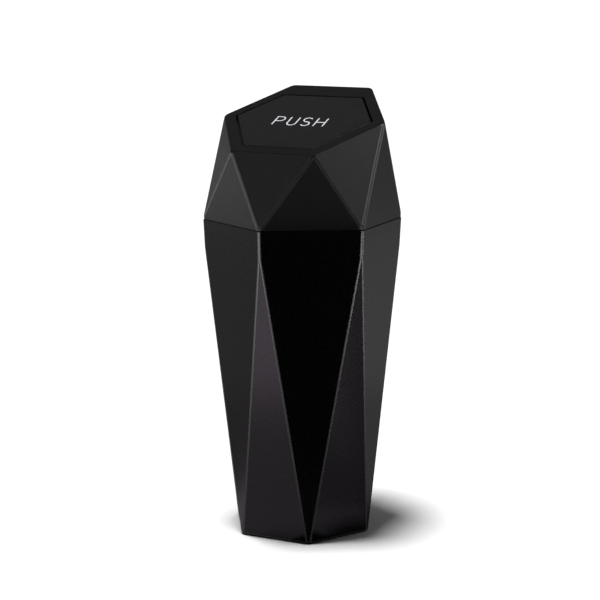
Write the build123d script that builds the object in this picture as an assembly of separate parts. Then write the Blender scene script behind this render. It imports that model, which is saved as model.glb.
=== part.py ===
from build123d import *
from math import atan2, cos, degrees, pi, radians, sin, tan
import os

# A six-sided, faceted litter bin for a car: a tapering bucket, a lift-off lid with a
# sloping top, and a push flap in that top which a spring holds shut.
# Millimetres and degrees. The bin stands on Z = 0, and its top climbs towards +Y.

# Outer form of the body
RIM_ACROSS = 89.3         # corner to corner, where lid and body meet
BODY_HEIGHT = 141.8       # floor to the joint between body and lid
BASE_ACROSS = 66.2        # corner to corner of the foot
BASE_FLAT = 1.2           # width of the narrow flat that cuts off each corner of the foot
CORNER_DROP = 8.6         # joint down to the tips of the tall triangular facets
BODY_EDGE = 1.8           # rounding between the body's facets
FOOT_EDGE = 1.5           # rounding round the foot

# Outer form of the lid
LID_RISE = 44.3           # joint up to the middle of the sloping top
TOP_REACH = 0.4           # how far the top's corners stand out past the sides of the rim
TOP_SLOPE = 21.2          # slope of the top, in degrees
LID_EDGE = 3.5            # rounding between the lid's facets
TOP_EDGE = 0.7            # rounding round the sloping top
LID_RIM_EDGE = 0.2        # edge break round the lid's lower edge
SEAM_HEIGHT = 0.4         # shadow groove in the body, just below the lid
SEAM_DEPTH = 0.5

# Walls
WALL = 2.2                # sides of body and lid
TOP_WALL = 2.4            # frame round the flap
FLOOR = 2.2               # bottom of the body
FOOT_WIDTH = 3.0          # ring that the body stands on
FOOT_RECESS = 0.8         # hollow inside that ring
INSIDE_EDGE = 2.0         # rounding between floor and walls inside

# Neck of the body, which the lid fits over
NECK_HEIGHT = 6.0
NECK_WALL = 1.0
NECK_CORNER_CUT = 5.0     # how far the bucket's mouth is cut back at each rim corner
NECK_EDGE = 0.4           # rounding of the neck's upper edges
NECK_CLEARANCE = 0.2      # sideways play between neck and lid
NECK_HEADROOM = 0.4       # play above the neck
GRIP_WIDTH = 1.4          # small upright ribs that grip the lid
GRIP_PROUD = 0.15
GRIP_MARGIN = 1.0         # from the ends of a rib to the ends of the neck

# Mouth and flap
FRAME_BAND = 5.0          # frame beside the flap on five sides
HINGE_BAND = 10.6         # wide band of the frame over the hinge
FLAP_GAP = 0.65           # slot round the flap on five sides
HINGE_GAP = 0.5           # slot beside the wide band
MOUTH_CORNER = 1.2        # rounding of the mouth's corners, seen from above
MOUTH_EDGE = 0.4          # rounding of the mouth's upper edge
FLAP_EDGE = 0.8           # rounding of the flap's upper edge
FLAP_PLATE = 2.2          # thickness of the flap's plate
FLAP_WALL = 1.6           # wall under the flap's edge
LIP_OVERLAP = 1.0         # how far the flap's lip reaches under the frame
LIP_GAP = 0.2             # lip to frame, shut
LIP_DEPTH = 1.2
RIB_WIDTH = 1.2           # stiffening ribs under the flap
CROSS_RIB_BACK = 5.0      # cross rib, from the middle of the top towards the hinge

# Hinge
PIN_RADIUS = 1.0
PIN_SETBACK = 7.8         # pin's axis, in from the high edge of the top
PIN_DEPTH = 6.0           # pin's axis below the top
PIN_SEAT = 0.02           # radial play of the pin in the lid's ears
PIN_PLAY = 0.08           # radial play of the flap's arms on the pin
PIN_END = 0.2             # bevel at the pin's ends
EAR_SPAN = 25.0           # between the lid's two ears
EAR_WIDTH = 3.5
EAR_RADIUS = 2.8
SNAP_SLOT = 1.7           # slot under each ear that the pin is snapped in through
ARM_WIDTH = 3.6
ARM_PLAY = 0.3            # sideways play between arm and ear
KNUCKLE_RADIUS = 2.4
BAND_CLEARANCE = 0.5      # hinge arms to the wide band
ARM_REACH = 13.0          # how far an arm runs forward under the flap

# Return spring
WIRE_RADIUS = 0.4
COIL_RADIUS = 2.0         # axis to the middle of the wire
COIL_PITCH = 1.1
COIL_TURNS = 5            # whole turns, and a part turn between the two legs
LID_LEG = 9.0
FLAP_LEG = 14.0
SPRING_GAP = 0.05         # legs to their seats
SEAT_WIDTH = 5.0          # seats under the legs
SEAT_LENGTH = 5.0

# Directions of the six sides, and the block that the facets are cut from
HEXAGON = range(0, 360, 60)
HALF_STEP = 30
HINGE_SIDE = 90
FRONT_SIDES = (210, 270, 330)
STEEP = 0.5               # rise of an edge for each unit of its length, for it to count as a side edge
STOCK = 4 * RIM_ACROSS
SPARE = 20.0              # extra length that is trimmed off again


def polar(radius, angle, height=0.0):
    """Point at a radius and an angle about the bin's axis."""
    return Vector(radius * cos(radians(angle)), radius * sin(radians(angle)), height)


def facet(first, second, third):
    """Plane through three points, facing away from the bin's axis."""
    normal = (second - first).cross(third - first).normalized()
    middle = (first + second + third) * (1 / 3)
    if normal.dot(Vector(middle.X, middle.Y, 0)) < 0:
        normal = -normal
    return Plane(origin=first, z_dir=normal)


def carve(facets, low, high, inset=0.0):
    """Solid between two heights and inside all the facets, each moved in by the inset."""
    stock = Pos(0, 0, (low + high) / 2) * Box(STOCK, STOCK, high - low)
    for plane in facets:
        stock = split(stock, bisect_by=plane.offset(-inset), keep=Keep.BOTTOM)
    return stock


def soften(form, radius):
    """Form with the edges between its side facets rounded."""
    steep = form.edges().filter_by(lambda edge: abs((edge % 0.5).Z) > STEEP)
    return fillet(steep, radius)


def six_sides(distances):
    """Outline from the distance of each side from the middle, by the side's direction."""
    corners = []
    for angle in HEXAGON:
        before = distances[(angle - HALF_STEP) % 360]
        after = distances[(angle + HALF_STEP) % 360]
        along = (before + after) / (2 * cos(radians(HALF_STEP)))
        across = (after - before) / (2 * sin(radians(HALF_STEP)))
        corners.append(Vector(along, across).rotate(Axis.Z, angle))
    return make_face(Polyline(*corners, close=True))


def layer(outline, upper, lower):
    """Slab of an outline between two depths below the sloping top."""
    return Pos(0, 0, -lower) * extrude(outline, lower - upper)


def mirrored(solid):
    """Solid and its twin on the other side of the bin."""
    return solid + mirror(solid, Plane.YZ)


# Corners and sides of the rim, the foot and the sloping top, from the axis outwards
rim_corner = RIM_ACROSS / 2
rim_flat = rim_corner * cos(radians(HALF_STEP))
base_corner = BASE_ACROSS / 2
top_corner = rim_flat + TOP_REACH
top_flat = top_corner * cos(radians(HALF_STEP))

# Facets of the body: six long ones below the rim's edges, six triangular ones below its corners
long_foot = base_corner - BASE_FLAT / 2 * tan(radians(HALF_STEP))
tip_height = BODY_HEIGHT - CORNER_DROP
tip_flat = long_foot + (rim_flat - long_foot) * tip_height / BODY_HEIGHT
tip_corner = tip_flat / cos(radians(HALF_STEP))
body_facets = []
for angle in HEXAGON:
    corner = angle + HALF_STEP
    left = polar(rim_corner, angle - HALF_STEP, BODY_HEIGHT)
    right = polar(rim_corner, corner, BODY_HEIGHT)
    body_facets.append(facet(left, right, polar(long_foot, angle)))
    tip = polar(tip_corner, corner, tip_height)
    body_facets.append(facet(tip, polar(base_corner, angle), polar(base_corner, angle + 60)))

# Facets of the lid: triangles that point up from the rim's edges and down to its corners.
# The sloping top has its own frame: X across, Y towards the hinge, Z out of the top.
top = Plane(
    origin=(0, 0, BODY_HEIGHT + LID_RISE),
    x_dir=(1, 0, 0),
    z_dir=(0, -sin(radians(TOP_SLOPE)), cos(radians(TOP_SLOPE))),
)
lid_facets = []
for angle in HEXAGON:
    left = polar(rim_corner, angle - HALF_STEP, BODY_HEIGHT)
    right = polar(rim_corner, angle + HALF_STEP, BODY_HEIGHT)
    peak = top.from_local_coords(polar(top_corner, angle))
    next_peak = top.from_local_coords(polar(top_corner, angle + 60))
    lid_facets.append(facet(left, right, peak))
    lid_facets.append(facet(right, peak, next_peak))
lid_ceiling = BODY_HEIGHT + LID_RISE + top_corner

# Mouth of the bucket, which the neck and the lid's lower edge follow
mouth_facets = []
for angle in HEXAGON:
    corner = polar(rim_corner - NECK_CORNER_CUT, angle + HALF_STEP)
    mouth_facets.append(Plane(origin=corner, z_dir=polar(1, angle + HALF_STEP)))
mouth_facets += [plane.offset(-WALL) for plane in body_facets]
bucket_floor = FOOT_RECESS + FLOOR
bucket = carve(mouth_facets, bucket_floor, BODY_HEIGHT)
bucket_mouth = bucket.faces().sort_by(Axis.Z)[-1]
neck_outline = offset(bucket_mouth, NECK_WALL, kind=Kind.INTERSECTION)
neck_socket = offset(neck_outline, NECK_CLEARANCE, kind=Kind.INTERSECTION)

# Outlines in the sloping top
mouth_sides = {angle + HALF_STEP: top_flat - FRAME_BAND for angle in HEXAGON}
mouth_sides[HINGE_SIDE] = top_flat - HINGE_BAND
flap_sides = {side: distance - FLAP_GAP for side, distance in mouth_sides.items()}
flap_sides[HINGE_SIDE] = mouth_sides[HINGE_SIDE] - HINGE_GAP
lip_sides = dict(flap_sides)
for side in FRONT_SIDES:
    lip_sides[side] = mouth_sides[side] + LIP_OVERLAP
pocket_sides = {side: distance - FLAP_WALL for side, distance in flap_sides.items()}
pocket_sides[HINGE_SIDE] = top_flat
mouth_outline = fillet(six_sides(mouth_sides).vertices(), MOUTH_CORNER)
flap_outline = fillet(six_sides(flap_sides).vertices(), MOUTH_CORNER)
lip_outline = fillet(six_sides(lip_sides).vertices(), MOUTH_CORNER)

# Hinge places in the sloping top
pin_y = top_flat - PIN_SETBACK
lip_top = TOP_WALL + LIP_GAP
lip_bottom = lip_top + LIP_DEPTH
ear_inside = EAR_SPAN / 2
pin_reach = ear_inside + EAR_WIDTH
arm_middle = ear_inside - ARM_PLAY - ARM_WIDTH / 2
back_facet = facet(
    polar(rim_corner, HINGE_SIDE, BODY_HEIGHT),
    top.from_local_coords(polar(top_corner, HINGE_SIDE - HALF_STEP)),
    top.from_local_coords(polar(top_corner, HINGE_SIDE + HALF_STEP)),
)
back_normal = Vector(0, back_facet.z_dir.dot(top.y_dir), back_facet.z_dir.dot(top.z_dir))
back_lean = degrees(atan2(-back_normal.Z, back_normal.Y))
coil_length = COIL_PITCH * (COIL_TURNS + (90 + back_lean) / 360)
coil_outside = COIL_RADIUS + WIRE_RADIUS
leg_drift = COIL_PITCH / (2 * pi * COIL_RADIUS)


def across_pin(radius, length, middle=0.0):
    """Round bar along the hinge line."""
    return Pos(middle, pin_y, -PIN_DEPTH) * Rot(0, 90, 0) * Cylinder(radius, length)


def make_bin_body():
    """Tapering bucket with a foot ring and the neck that the lid fits over."""
    form = carve(body_facets, 0, BODY_HEIGHT + SPARE)
    form = fillet(form.faces().sort_by(Axis.Z)[0].edges(), FOOT_EDGE)
    form = soften(form, BODY_EDGE)
    form = split(form, bisect_by=Plane.XY.offset(BODY_HEIGHT), keep=Keep.BOTTOM)
    form -= make_seam_groove()
    foot = form.faces().sort_by(Axis.Z)[0]
    recess = offset(foot, -FOOT_WIDTH, kind=Kind.INTERSECTION)
    neck = extrude(neck_outline, NECK_HEIGHT)
    neck = fillet(neck.faces().sort_by(Axis.Z)[-1].edges(), NECK_EDGE)
    for angle in HEXAGON:
        neck += make_grip_rib(angle)
    hollow = fillet(bucket.faces().sort_by(Axis.Z)[0].edges(), INSIDE_EDGE)
    hollow += extrude(bucket_mouth, NECK_HEIGHT)
    return form + neck - hollow - extrude(recess, FOOT_RECESS, dir=(0, 0, 1))


def make_seam_groove():
    """Ring cut round the body's upper edge, so that the joint shows as a dark line."""
    low = BODY_HEIGHT - SEAM_HEIGHT
    around = Pos(0, 0, low + SEAM_HEIGHT / 2) * Box(STOCK, STOCK, SEAM_HEIGHT)
    return around - carve(body_facets, low, BODY_HEIGHT, inset=SEAM_DEPTH)


def make_grip_rib(angle):
    """Low upright rib on one side of the neck, rounded across."""
    neck_side = neck_outline.bounding_box().max.X
    rib_radius = (GRIP_WIDTH ** 2 / 4 + GRIP_PROUD ** 2) / (2 * GRIP_PROUD)
    height = NECK_HEIGHT - 2 * GRIP_MARGIN
    rib = Pos(neck_side + GRIP_PROUD - rib_radius, 0, 0) * Cylinder(rib_radius, height)
    keep = Pos(neck_side, 0, 0) * Box(NECK_WALL, GRIP_WIDTH, height)
    return Rot(0, 0, angle) * Pos(0, 0, BODY_HEIGHT + NECK_HEIGHT / 2) * (rib & keep)


def make_lid_shell():
    """Faceted shell with the mouth, the socket for the neck, the hinge ears and a spring seat."""
    form = soften(carve(lid_facets, BODY_HEIGHT - SPARE, lid_ceiling), LID_EDGE)
    form = split(form, bisect_by=Plane.XY.offset(BODY_HEIGHT), keep=Keep.TOP)
    form = split(form, bisect_by=top, keep=Keep.BOTTOM)
    form = chamfer(form.faces().sort_by(Axis.Z)[0].edges(), LID_RIM_EDGE)
    form = fillet(form.faces().sort_by(Axis(top.origin, top.z_dir))[-1].edges(), TOP_EDGE)
    hollow = carve(lid_facets, BODY_HEIGHT - SPARE, lid_ceiling, inset=WALL)
    hollow = split(hollow, bisect_by=top.offset(-TOP_WALL), keep=Keep.BOTTOM)
    inner_half = carve(lid_facets, BODY_HEIGHT, lid_ceiling, inset=WALL / 2)
    inner_half = split(inner_half, bisect_by=top.offset(-TOP_WALL / 2), keep=Keep.BOTTOM)
    shell = form - hollow - extrude(neck_socket, NECK_HEIGHT + NECK_HEADROOM)
    shell -= top * layer(mouth_outline, -SPARE, TOP_WALL + SPARE)
    frame = shell.faces().sort_by(Axis(top.origin, top.z_dir))[-1]
    shell = fillet(frame.inner_wires()[0].edges(), MOUTH_EDGE)
    fittings = top * (make_ears() + make_lid_seat())
    shell += fittings & inner_half
    return shell - top * make_pin_clips()


def make_ears():
    """Two ears that hang from the wide band and carry the pin."""
    depth = PIN_DEPTH
    length = PIN_SETBACK + EAR_RADIUS
    plate = Pos(0, pin_y - EAR_RADIUS + length / 2, -depth / 2) * Box(EAR_WIDTH, length, depth)
    foot = Pos(0, pin_y + PIN_SETBACK / 2, -depth) * Box(EAR_WIDTH, PIN_SETBACK, 2 * EAR_RADIUS)
    ear = Pos(ear_inside + EAR_WIDTH / 2, 0, 0) * (plate + foot)
    ear += across_pin(EAR_RADIUS, EAR_WIDTH, ear_inside + EAR_WIDTH / 2)
    return mirrored(ear)


def make_pin_clips():
    """Hole for the pin through both ears, open below so that the pin snaps in."""
    hole = across_pin(PIN_RADIUS + PIN_SEAT, 2 * pin_reach)
    slot = Box(2 * pin_reach, SNAP_SLOT, EAR_RADIUS, align=(Align.CENTER, Align.CENTER, Align.MAX))
    return hole + Pos(0, pin_y, -PIN_DEPTH) * slot


def make_lid_seat():
    """Block on the lid's back wall that the spring's lower leg pushes against."""
    along = SEAT_LENGTH / 2 - LID_LEG
    across = -coil_length / 2 - LID_LEG * leg_drift
    block = Box(SEAT_WIDTH, SEAT_LENGTH, PIN_SETBACK, align=(Align.CENTER, Align.CENTER, Align.MIN))
    wall_frame = Plane(origin=(0, pin_y, -PIN_DEPTH), x_dir=(-1, 0, 0), z_dir=back_normal)
    return wall_frame * Pos(-across, along, coil_outside + SPRING_GAP) * block


def make_push_flap():
    """Flap with its stop lip, stiffening ribs, hinge arms and a seat for the spring."""
    plate = layer(flap_outline, 0, FLAP_PLATE)
    plate = fillet(plate.faces().sort_by(Axis.Z)[-1].edges(), FLAP_EDGE)
    pocket = six_sides(pocket_sides)
    rim = layer(flap_outline, FLAP_PLATE, lip_bottom)
    rim += layer(lip_outline, lip_top, lip_bottom)
    rim -= layer(pocket, 0, lip_bottom + SPARE)
    flap = plate + rim + make_ribs() + make_flap_seat() + mirrored(make_arm())
    flap -= across_pin(PIN_RADIUS + PIN_PLAY, 2 * pin_reach)
    return top * flap


def make_ribs():
    """Two long ribs in line with the arms and one across, within the flap's outline."""
    depth = lip_bottom - FLAP_PLATE
    middle = -(FLAP_PLATE + lip_bottom) / 2
    cross = Pos(0, CROSS_RIB_BACK, middle) * Box(3 * top_corner, RIB_WIDTH, depth)
    long_rib = Pos(arm_middle, 0, middle) * Box(RIB_WIDTH, 3 * top_corner, depth)
    within = layer(flap_outline, 0, lip_bottom)
    return (cross + mirrored(long_rib)) & within


def make_arm():
    """Web under the flap that reaches back below the wide band to the pin."""
    band_y = mouth_sides[HINGE_SIDE] - HINGE_GAP
    band_z = -TOP_WALL - BAND_CLEARANCE
    front_y = band_y - ARM_REACH
    web = make_face(
        Polyline(
            (front_y, -FLAP_PLATE),
            (band_y - HINGE_GAP, -FLAP_PLATE),
            (band_y, band_z),
            (pin_y, KNUCKLE_RADIUS - PIN_DEPTH),
            (pin_y, -PIN_DEPTH - KNUCKLE_RADIUS),
            (front_y, -lip_bottom),
            close=True,
        )
    )
    arm = Pos(arm_middle, 0, 0) * extrude(Plane.YZ * web, ARM_WIDTH / 2, both=True)
    return arm + across_pin(KNUCKLE_RADIUS, ARM_WIDTH, arm_middle)


def make_flap_seat():
    """Pad under the flap that the spring's upper leg pushes against."""
    lower = PIN_DEPTH - coil_outside - SPRING_GAP
    middle_x = coil_length / 2 + FLAP_LEG * leg_drift
    middle_y = pin_y - FLAP_LEG + SEAT_LENGTH / 2
    pad = Box(SEAT_WIDTH, SEAT_LENGTH, lower - FLAP_PLATE)
    return Pos(middle_x, middle_y, -(FLAP_PLATE + lower) / 2) * pad


def make_hinge_pin():
    """Straight pin with bevelled ends."""
    pin = across_pin(PIN_RADIUS, 2 * pin_reach)
    return top * chamfer(pin.edges().filter_by(GeomType.CIRCLE), PIN_END)


def make_return_spring():
    """Torsion spring round the pin, one leg down the lid's back wall, one under the flap."""
    coil = Helix(COIL_PITCH, coil_length, COIL_RADIUS)
    start = coil @ 0
    finish = coil @ 1
    lid_tip = start - (coil % 0) * LID_LEG
    flap_tip = finish + (coil % 1) * FLAP_LEG
    path = Wire([Line(lid_tip, start).edge(), *coil.edges(), Line(finish, flap_tip).edge()])
    wire = sweep(Plane(origin=lid_tip, z_dir=coil % 0) * Circle(WIRE_RADIUS), path=path)
    place = Plane(
        origin=(-coil_length / 2, pin_y, -PIN_DEPTH),
        x_dir=back_normal,
        z_dir=(1, 0, 0),
    )
    return top * (place * wire)


pieces = {
    "bin_body": make_bin_body(),
    "lid_shell": make_lid_shell(),
    "push_flap": make_push_flap(),
    "hinge_pin": make_hinge_pin(),
    "return_spring": make_return_spring(),
}

os.makedirs("parts", exist_ok=True)
for name, piece in pieces.items():
    export_step(piece, f"parts/{name}.step")
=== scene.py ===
import math

import bmesh
import bpy
from mathutils import Matrix, Vector


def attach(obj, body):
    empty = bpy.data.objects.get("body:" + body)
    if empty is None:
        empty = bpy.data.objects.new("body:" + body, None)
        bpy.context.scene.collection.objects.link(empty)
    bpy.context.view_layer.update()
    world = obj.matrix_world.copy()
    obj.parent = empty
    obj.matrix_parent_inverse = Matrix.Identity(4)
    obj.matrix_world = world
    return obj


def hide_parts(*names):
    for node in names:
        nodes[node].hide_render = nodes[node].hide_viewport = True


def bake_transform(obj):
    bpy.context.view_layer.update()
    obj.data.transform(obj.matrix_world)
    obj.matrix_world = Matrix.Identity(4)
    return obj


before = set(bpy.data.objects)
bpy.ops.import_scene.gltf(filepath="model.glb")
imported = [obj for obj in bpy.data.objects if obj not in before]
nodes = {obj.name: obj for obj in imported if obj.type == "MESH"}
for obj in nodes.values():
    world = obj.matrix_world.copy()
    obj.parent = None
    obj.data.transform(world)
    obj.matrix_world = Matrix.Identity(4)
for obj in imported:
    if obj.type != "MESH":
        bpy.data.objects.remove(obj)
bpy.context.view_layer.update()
scene = bpy.context.scene

MM = 0.001

# Camera: angles in degrees, distance and focal length that put the bin's corners where the photo has them
CAMERA_AZIMUTH = 24.95
CAMERA_ELEVATION = 11.2
CAMERA_ROLL = 0.14
CAMERA_DISTANCE = 775 * MM
CAMERA_LENS = 103.23
SENSOR_WIDTH = 36
AIM_HEIGHT = 104.3 * MM
AIM_SIDEWAYS = -1.15 * MM

# Word on the flap: centre lines of its strokes, in the plane of the flap's top
CAP_HEIGHT = 7.6 * MM
CAP_MIDDLE = -3.36 * MM
WORD_WIDTH = 24.25 * MM
STROKE_WIDTH = 0.6 * MM
INK_HEIGHT = 0.04 * MM
INK_DEPTH = 0.1 * MM
ARC_STEPS = 20
SHARPEST_MITRE = 0.3

# Widths of the letters as shares of their height, and the angle at which the ends of the S stop
P_WIDTH = 0.53
U_WIDTH = 0.54
S_WIDTH = 0.5
H_WIDTH = 0.58
S_END = 30

# Side edges: faces that point outwards, tilt up or down by less than this, and share their rounded
# direction with too small an area for a flat facet
FACET_AREA = 60 * MM * MM
DIRECTION_DIGITS = 2
LEAST_OUTWARD = 0.7
BODY_EDGE_TILT = 0.45
LID_EDGE_TILT = 0.33

# Flap's top: the widest of the faces that point upwards by more than this
LEAST_UPWARD = 0.5

# Range that a noise texture spends most of its values in
NOISE_RANGE = 0.3, 0.7

# Heights on the body between which its edges go from matt to glossy
EDGE_FOOT = 15 * MM
EDGE_RIM = 140 * MM

PIN_TONE = 0.6, 0.6, 0.6
SPRING_TONE = 0.5, 0.51, 0.52

# Studio: white floor, grey world and a broad light far above, by its angle round the bin from +X, its
# height and its width in degrees
FLOOR_SIZE = 40.0
FLOOR_TONE = 0.92
WORLD_LEVEL = 0.13
SUN_ANGLE = -132
SUN_HEIGHT = 84
SUN_WIDTH = 11.5
SUN_POWER = 3.45

# Lamps: angle round the bin from +X and spread in degrees, distance from the bin's axis, height and size in
# metres, power in watts
LAMP_TARGET = 0, 0, 0.14
EDGE_TARGET = 0, -0.06, 0.12
LAMPS = {
    "left_box": dict(angle=-174, away=0.5, height=0.17, size=(0.3, 0.16), spread=90, power=0.06),
    "front_left_box": dict(angle=-114, away=0.6, height=0.47, size=(0.3, 0.3), spread=60, power=0.046),
    "front_left_low": dict(angle=-112, away=0.19, height=0.06, size=(0.14, 0.12), spread=120, power=0.063),
    "left_low": dict(angle=-173, away=0.24, height=0.06, size=(0.14, 0.12), spread=120, power=0.0035),
    "right_edge": dict(
        angle=-18, away=0.22, height=0.05, size=(0.05, 0.12), spread=50, power=0.02, towards=EDGE_TARGET
    ),
    "back_edge": dict(angle=36, away=0.22, height=0.05, size=(0.03, 0.12), spread=120, power=0.035),
    "lid_left_edge": dict(angle=-145, away=0.5, height=0.25, size=(0.08, 0.16), spread=36, power=0.006),
    "lid_right_edge": dict(angle=36, away=0.5, height=0.24, size=(0.08, 0.16), spread=36, power=0.012),
    "right_box": dict(angle=6, away=0.5, height=0.4, size=(0.35, 0.3), spread=24, power=0.094),
    "back_right_low": dict(angle=66, away=0.26, height=0.05, size=(0.16, 0.1), spread=120, power=0.0032),
    "top_box": dict(angle=128, away=0.45, height=0.66, size=(0.35, 0.35), spread=120, power=0.006),
    "front_box": dict(angle=-54, away=0.5, height=0.22, size=(0.3, 0.25), spread=90, power=0.022),
    "over_box": dict(angle=-60, away=0.3, height=1.2, size=(1.2, 1.0), spread=180, power=2.5),
}

# Sheets for the reflections, in metres: grey mats on the floor, each a layer above the last where they
# overlap, and a dark card that stands before the darkest facet, with a dark strip at its foot
LAYER = 0.5 * MM
MAT_TONE = 0.25
MAT_SIZE = 8.0, 8.0
MAT_ANGLES = 91, 112
RUNNER_SIZE = 2.0, 6.0
RUNNER_START = 0.4
FOOT_MAT_TONE = 0.38
FOOT_MAT_ANGLE = -16
FOOT_MAT_START = 0.052
FOOT_MAT_SIZE = 0.05, 0.086
CARD_TONE = 0.005
CARD_ANGLE = -57
CARD_DISTANCE = 0.085
CARD_SIZE = 0.1, 0.142
STRIP_SIZE = 0.02, 0.06


def direction(angle, height):
    """Unit vector at an angle round the bin and a height above the floor, both in degrees."""
    angle, height = math.radians(angle), math.radians(height)
    level = math.cos(height)
    return Vector((level * math.cos(angle), level * math.sin(angle), math.sin(height)))


def above_floor(height):
    """Point on the bin's axis at a height."""
    return Vector((0, 0, height))


def add_object(name, data):
    """Object in the scene with this data."""
    item = bpy.data.objects.new(name, data)
    scene.collection.objects.link(item)
    return item


def aim(item, towards):
    """Turns a lamp, a card or a camera at its place so that its -Z axis points towards a point."""
    back = item.location - Vector(towards)
    item.rotation_euler = back.to_track_quat("Z", "Y").to_euler()


def make_camera():
    """Camera at the photograph's angle."""
    sideways = direction(CAMERA_AZIMUTH, 0)
    target = above_floor(AIM_HEIGHT) + AIM_SIDEWAYS * sideways
    camera = add_object("camera", bpy.data.cameras.new("camera"))
    camera.data.sensor_width = SENSOR_WIDTH
    camera.data.lens = CAMERA_LENS
    camera.data.clip_end = 2 * FLOOR_SIZE
    camera.location = target + CAMERA_DISTANCE * direction(CAMERA_AZIMUTH - 90, CAMERA_ELEVATION)
    aim(camera, target)
    camera.rotation_euler.rotate_axis("Z", math.radians(CAMERA_ROLL))
    scene.camera = camera


class Finish:
    """Material made of nodes, with its Principled shader and the object's own coordinates at hand."""

    def __init__(self, name):
        self.material = bpy.data.materials.new(name)
        self.material.use_nodes = True
        self.nodes = self.material.node_tree.nodes
        self.links = self.material.node_tree.links
        self.shader = self.nodes["Principled BSDF"]
        self.place = self.nodes.new("ShaderNodeTexCoord").outputs["Object"]

    def set(self, **sockets):
        """Sets values of the shader, with _ for each space in a socket's name."""
        for name, value in sockets.items():
            self.shader.inputs[name.replace("_", " ")].default_value = value

    def noise(self, size, detail=2.0, stretch=None):
        """Noise with features of about this size in metres, stretched along an axis if asked."""
        texture = self.nodes.new("ShaderNodeTexNoise")
        texture.inputs["Scale"].default_value = 1 / size
        texture.inputs["Detail"].default_value = detail
        place = self.place
        if stretch:
            mapping = self.nodes.new("ShaderNodeMapping")
            mapping.inputs["Scale"].default_value = stretch
            self.links.new(place, mapping.inputs["Vector"])
            place = mapping.outputs["Vector"]
        self.links.new(place, texture.inputs["Vector"])
        return texture.outputs["Fac"]

    def height(self):
        """Height on the object in metres."""
        axes = self.nodes.new("ShaderNodeSeparateXYZ")
        self.links.new(self.place, axes.inputs["Vector"])
        return axes.outputs["Z"]

    def vary(self, socket, value, low, high, start=NOISE_RANGE[0], end=NOISE_RANGE[1]):
        """Lets a value take a shader socket from low to high as it goes from start to end."""
        span = self.nodes.new("ShaderNodeMapRange")
        span.inputs["From Min"].default_value = start
        span.inputs["From Max"].default_value = end
        span.inputs["To Min"].default_value = low
        span.inputs["To Max"].default_value = high
        self.links.new(value, span.inputs["Value"])
        self.links.new(span.outputs["Result"], self.shader.inputs[socket])

    def tones(self, factor, dark, light):
        """Lets a texture vary the colour between two tones."""
        ramp = self.nodes.new("ShaderNodeValToRGB")
        for stop, position, tone in zip(ramp.color_ramp.elements, NOISE_RANGE, (dark, light)):
            stop.position = position
            stop.color = (*tone, 1)
        self.links.new(factor, ramp.inputs["Fac"])
        self.links.new(ramp.outputs["Color"], self.shader.inputs["Base Color"])

    def relief(self, height, depth, strength):
        """Gives the surface a fine relief of this depth in metres."""
        bump = self.nodes.new("ShaderNodeBump")
        bump.inputs["Distance"].default_value = depth
        bump.inputs["Strength"].default_value = strength
        self.links.new(height, bump.inputs["Height"])
        self.links.new(bump.outputs["Normal"], self.shader.inputs["Normal"])


def body_plastic():
    """Black moulded plastic with the fine sparkle of a spark-eroded mould."""
    finish = Finish("body_plastic")
    finish.set(Specular_IOR_Level=0.16, Specular_Tint=(1, 0.84, 1, 1))
    grain = finish.noise(0.9 * MM, detail=3)
    finish.tones(grain, dark=(0.0009, 0.0008, 0.001), light=(0.0024, 0.0021, 0.0026))
    finish.vary("Roughness", finish.noise(1.5 * MM), low=0.24, high=0.3)
    finish.relief(finish.noise(0.5 * MM, detail=3), depth=0.03 * MM, strength=0.8)
    return finish.material


def lid_plastic():
    """Black moulded plastic, smooth and satin."""
    finish = Finish("lid_plastic")
    finish.set(Specular_IOR_Level=0.15)
    finish.tones(finish.noise(6 * MM), dark=(0.0032, 0.0032, 0.0034), light=(0.0045, 0.0045, 0.0048))
    finish.vary("Roughness", finish.noise(2 * MM, detail=4), low=0.31, high=0.36)
    finish.relief(finish.noise(0.25 * MM), depth=0.01 * MM, strength=0.4)
    return finish.material


def flap_plastic():
    """Black moulded plastic of the flap, a touch glossier than the lid."""
    finish = Finish("flap_plastic")
    finish.set(Specular_IOR_Level=0.18)
    finish.tones(finish.noise(5 * MM), dark=(0.0064, 0.0064, 0.0067), light=(0.0082, 0.0082, 0.0086))
    finish.vary("Roughness", finish.noise(2 * MM, detail=4), low=0.3, high=0.35)
    finish.relief(finish.noise(0.25 * MM), depth=0.01 * MM, strength=0.4)
    return finish.material


def body_edges_painted_highlight():
    """Plastic on the body's edges, glossier than its facets and glossiest near the rim, and lighter in
    colour as a painted highlight.
    """
    finish = Finish("body_edges_painted_highlight")
    finish.set(IOR=2.0, Specular_IOR_Level=0.25)
    edge_tone_noise = finish.noise(1.5 * MM, detail=3)
    # Edge tones lighter than the body's own: a painted highlight along the edges
    finish.tones(edge_tone_noise, dark=(0.0025, 0.0023, 0.0026), light=(0.006, 0.0055, 0.0062))
    finish.vary("Roughness", finish.height(), low=0.9, high=0.3, start=EDGE_FOOT, end=EDGE_RIM)
    return finish.material


def lid_edges():
    """Plastic on the lid's side edges, rubbed a little smoother than its facets."""
    finish = Finish("lid_edges")
    finish.set(Specular_IOR_Level=0.45)
    edge_tone_noise = finish.noise(1.5 * MM, detail=3)
    finish.tones(edge_tone_noise, dark=(0.003, 0.003, 0.0032), light=(0.005, 0.005, 0.0053))
    finish.vary("Roughness", finish.noise(2 * MM, detail=4), low=0.28, high=0.34)
    return finish.material


def flap_print():
    """Pale matt ink, a little uneven where it is thin."""
    finish = Finish("flap_print")
    finish.set(Specular_IOR_Level=0.3)
    finish.tones(finish.noise(0.6 * MM, detail=3), dark=(0.62, 0.6, 0.66), light=(0.8, 0.78, 0.83))
    finish.vary("Roughness", finish.noise(0.8 * MM), low=0.5, high=0.7)
    return finish.material


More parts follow.
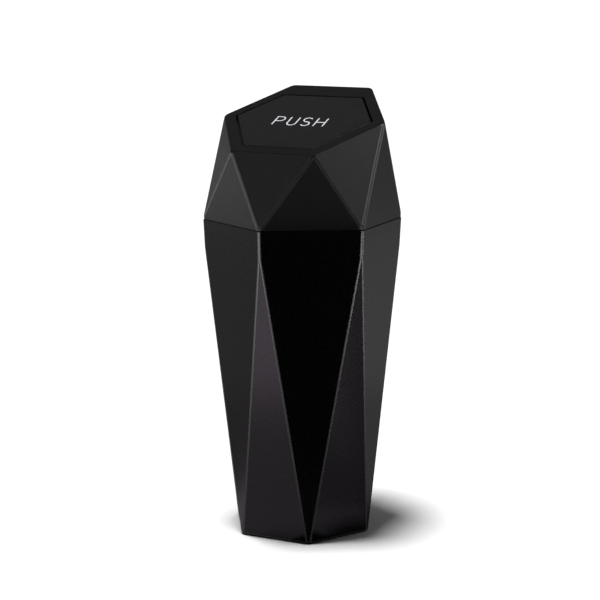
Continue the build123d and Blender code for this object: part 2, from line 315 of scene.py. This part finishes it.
def drawn_steel(name, tone):
    """Drawn steel wire with fine marks along its length."""
    finish = Finish(name)
    finish.set(Metallic=1.0)
    darker = tuple(0.8 * value for value in tone)
    finish.tones(finish.noise(0.3 * MM, stretch=(0.1, 1, 1)), dark=darker, light=tone)
    finish.vary("Roughness", finish.noise(0.2 * MM, stretch=(0.1, 1, 1)), low=0.25, high=0.42)
    finish.relief(finish.noise(0.15 * MM, stretch=(0.05, 1, 1)), depth=0.01 * MM, strength=0.4)
    return finish.material


def dress(item, material):
    """Gives an object this one material."""
    item.data.materials.clear()
    item.data.materials.append(material)


def rounded(normal):
    """Direction of a face, rounded so that the faces of one flat facet share it."""
    return tuple(round(value, DIRECTION_DIGITS) for value in normal)


def dress_side_edges(item, material, tilt):
    """Gives the rounded outer edges between the side facets a finish of their own."""
    faces = item.data.polygons
    areas = {}
    for face in faces:
        key = rounded(face.normal)
        areas[key] = areas.get(key, 0) + face.area
    item.data.materials.append(material)
    for face in faces:
        small = areas[rounded(face.normal)] < FACET_AREA
        outward = face.center.xy.normalized().dot(face.normal.xy)
        if small and outward > LEAST_OUTWARD and abs(face.normal.z) < tilt:
            face.material_index = 1


def flap_top():
    """Turn and middle of the flap's top: X along the hinge, Y up the slope, Z out of the surface."""
    faces = [face for face in nodes["push_flap"].data.polygons if face.normal.z > LEAST_UPWARD]
    widest = max(faces, key=lambda face: face.area)
    out = widest.normal.normalized()
    along = Vector((1, 0, 0))
    uphill = out.cross(along)
    middle = above_floor(widest.center.dot(out) / out.z)
    return Matrix((along, uphill, out)).transposed().to_4x4(), middle


def arc(middle_x, middle_y, radius_x, radius_y, start, finish):
    """Points on an arc between two angles in degrees, ends included."""
    angles = [math.radians(start + (finish - start) * k / ARC_STEPS) for k in range(ARC_STEPS + 1)]
    return [(middle_x + radius_x * math.cos(a), middle_y + radius_y * math.sin(a)) for a in angles]


def letter_p(height):
    """Strokes of the letter P, and its width."""
    width = P_WIDTH * height
    bowl, top, edge = width / 2, height / 2, STROKE_WIDTH / 2
    round_end = arc(width - bowl, top - bowl, bowl, bowl, 90, -90)
    bowl_line = [(edge, top), *round_end, (edge, top - 2 * bowl)]
    return [[(0, -top), (0, top + edge)], bowl_line], width


def letter_u(height):
    """Stroke of the letter U, and its width."""
    width = U_WIDTH * height
    radius, top = width / 2, height / 2
    line = [(0, top), *arc(radius, radius - top, radius, radius, 180, 360), (width, top)]
    return [line], width


def letter_s(height):
    """Stroke of the letter S, and its width."""
    width = S_WIDTH * height
    across, up = width / 2, height / 4
    upper = arc(across, up, across, up, S_END, 270)
    lower = arc(across, -up, across, up, 90, S_END - 180)
    return [upper + lower[1:]], width


def letter_h(height):
    """Strokes of the letter H, and its width."""
    width = H_WIDTH * height
    edge, top = STROKE_WIDTH / 2, height / 2
    left, right = [(0, -top), (0, top)], [(width, -top), (width, top)]
    return [left, right, [(edge, 0), (width - edge, 0)]], width


def stroke_sides(line, half_width):
    """Left and right edge of a stroke along a line of points, mitred where it turns."""
    points = [Vector(point) for point in line]
    left, right = [], []
    for k, point in enumerate(points):
        before = (point - points[k - 1]).normalized() if k else None
        after = (points[k + 1] - point).normalized() if k + 1 < len(points) else None
        ahead = ((before or after) + (after or before)).normalized()
        side = Vector((-ahead.y, ahead.x))
        mitre = half_width / max(SHARPEST_MITRE, ahead.dot(after or before))
        left.append(point + side * mitre)
        right.append(point - side * mitre)
    return left, right


def add_stroke(mesh, line):
    """Adds one inked stroke to a mesh, as a closed low ridge."""
    left, right = stroke_sides(line, STROKE_WIDTH / 2)
    rows = []
    for a, b in zip(left, right):
        row = [(a, INK_HEIGHT), (b, INK_HEIGHT), (b, -INK_DEPTH), (a, -INK_DEPTH)]
        rows.append([mesh.verts.new((point.x, point.y, z)) for point, z in row])
    for near, far in zip(rows, rows[1:]):
        for k in range(len(near)):
            mesh.faces.new((near[k], near[k - 1], far[k - 1], far[k]))
    mesh.faces.new(rows[0])
    mesh.faces.new(reversed(rows[-1]))


def make_word():
    """The word PUSH in plain strokes, printed on the flap."""
    mesh = bmesh.new()
    letters = [letter(CAP_HEIGHT) for letter in (letter_p, letter_u, letter_s, letter_h)]
    space = (WORD_WIDTH - sum(width for _, width in letters)) / (len(letters) - 1)
    left = -WORD_WIDTH / 2
    for strokes, width in letters:
        for line in strokes:
            add_stroke(mesh, [(left + x, CAP_MIDDLE + y) for x, y in line])
        left += width + space
    bmesh.ops.recalc_face_normals(mesh, faces=mesh.faces)
    turn, middle = flap_top()
    bmesh.ops.transform(mesh, matrix=Matrix.Translation(middle) @ turn, verts=mesh.verts)
    word = add_object("flap_word", bpy.data.meshes.new("flap_word"))
    mesh.to_mesh(word.data)
    mesh.free()
    dress(word, flap_print())
    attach(word, "flap")


def make_spring():
    """Wire of the return spring, a copy of the part with a steel finish, which stands in its place."""
    wire = nodes["return_spring"]
    spring = add_object("return_spring_wire", wire.data.copy())
    dress(spring, drawn_steel("spring_steel", SPRING_TONE))
    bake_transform(spring)
    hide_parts("return_spring")


def plain_finish(name, tone):
    """Plain matt surface for the studio."""
    finish = Finish(name)
    finish.set(Roughness=0.9, Specular_IOR_Level=0.0, Base_Color=(tone, tone, tone, 1))
    return finish.material


def add_sheet(name, size, material):
    """Flat sheet of a width and a length, in its own XY plane."""
    mesh = bmesh.new()
    bmesh.ops.create_grid(mesh, x_segments=1, y_segments=1, size=0.5)
    bmesh.ops.scale(mesh, vec=(*size, 1), verts=mesh.verts)
    sheet = add_object(name, bpy.data.meshes.new(name))
    mesh.to_mesh(sheet.data)
    mesh.free()
    dress(sheet, material)
    return sheet


def hide_from_camera(sheet):
    """Keeps a sheet out of the picture and lets it cast no shadow, as a studio flag for reflections."""
    sheet.visible_camera = False
    sheet.visible_shadow = False


def add_mat(name, size, material, angle, start, layer=1):
    """Sheet on the floor, for reflections only, with its length leading away from the bin from a start."""
    mat = add_sheet(name, size, material)
    mat.location = (start + size[1] / 2) * direction(angle, 0) + above_floor(layer * LAYER)
    mat.rotation_euler.z = math.radians(angle + 90)
    hide_from_camera(mat)
    mat.visible_diffuse = False


def add_card(name, size, material):
    """Card that stands on the floor and faces the bin."""
    card = add_sheet(name, size, material)
    middle = above_floor(size[1] / 2)
    card.location = middle + CARD_DISTANCE * direction(CARD_ANGLE, 0)
    aim(card, middle)
    hide_from_camera(card)


def add_flags():
    """Grey and dark sheets that give the bin's facets the photograph's darker reflections."""
    grey = plain_finish("mat_grey", MAT_TONE)
    for k, angle in enumerate(MAT_ANGLES, 1):
        add_mat(f"grey_mat_{k}", MAT_SIZE, grey, angle, start=0, layer=k)
    add_mat("grey_runner", RUNNER_SIZE, grey, CARD_ANGLE, start=RUNNER_START)
    pale = plain_finish("foot_mat_grey", FOOT_MAT_TONE)
    top_layer = len(MAT_ANGLES) + 1
    add_mat("foot_mat", FOOT_MAT_SIZE, pale, FOOT_MAT_ANGLE, start=FOOT_MAT_START, layer=top_layer)
    black = plain_finish("card_black", CARD_TONE)
    add_card("dark_card", CARD_SIZE, black)
    add_mat("dark_strip", STRIP_SIZE, black, CARD_ANGLE, start=CARD_DISTANCE - STRIP_SIZE[1])


def add_lamp(name, angle, away, height, size, spread, power, towards=LAMP_TARGET):
    """Soft rectangular lamp that shows in reflections only, turned towards a point on or near the bin."""
    lamp = bpy.data.lights.new(name, "AREA")
    lamp.shape = "RECTANGLE"
    lamp.size, lamp.size_y = size
    lamp.spread = math.radians(spread)
    lamp.energy = power
    panel = add_object(name, lamp)
    panel.location = away * direction(angle, 0) + above_floor(height)
    panel.visible_camera = False
    panel.visible_diffuse = False
    aim(panel, towards)


def add_sun():
    """Broad, even light from far above, which draws the soft shadow."""
    lamp = bpy.data.lights.new("sky_panel", "SUN")
    lamp.energy = SUN_POWER
    lamp.angle = math.radians(SUN_WIDTH)
    sun = add_object("sky_panel", lamp)
    sun.location = direction(SUN_ANGLE, SUN_HEIGHT)
    sun.visible_glossy = False
    aim(sun, above_floor(0))


def add_world():
    """Even grey light from all round."""
    world = bpy.data.worlds.new("studio")
    world.use_nodes = True
    background = world.node_tree.nodes["Background"]
    background.inputs["Color"].default_value = (1, 1, 1, 1)
    background.inputs["Strength"].default_value = WORLD_LEVEL
    scene.world = world


def make_studio():
    """White floor, sheets for reflections, soft lamps round and over the bin, and a broad light above."""
    add_sheet("floor", (FLOOR_SIZE, FLOOR_SIZE), plain_finish("floor_white", FLOOR_TONE))
    add_flags()
    for name, lamp in LAMPS.items():
        add_lamp(name, **lamp)
    add_sun()
    add_world()


make_camera()
dress(nodes["bin_body"], body_plastic())
dress(nodes["lid_shell"], lid_plastic())
dress_side_edges(nodes["bin_body"], body_edges_painted_highlight(), BODY_EDGE_TILT)
dress_side_edges(nodes["lid_shell"], lid_edges(), LID_EDGE_TILT)
dress(nodes["push_flap"], flap_plastic())
dress(nodes["hinge_pin"], drawn_steel("pin_steel", PIN_TONE))
make_word()
make_spring()
make_studio()

scene.view_settings.view_transform = "Standard"
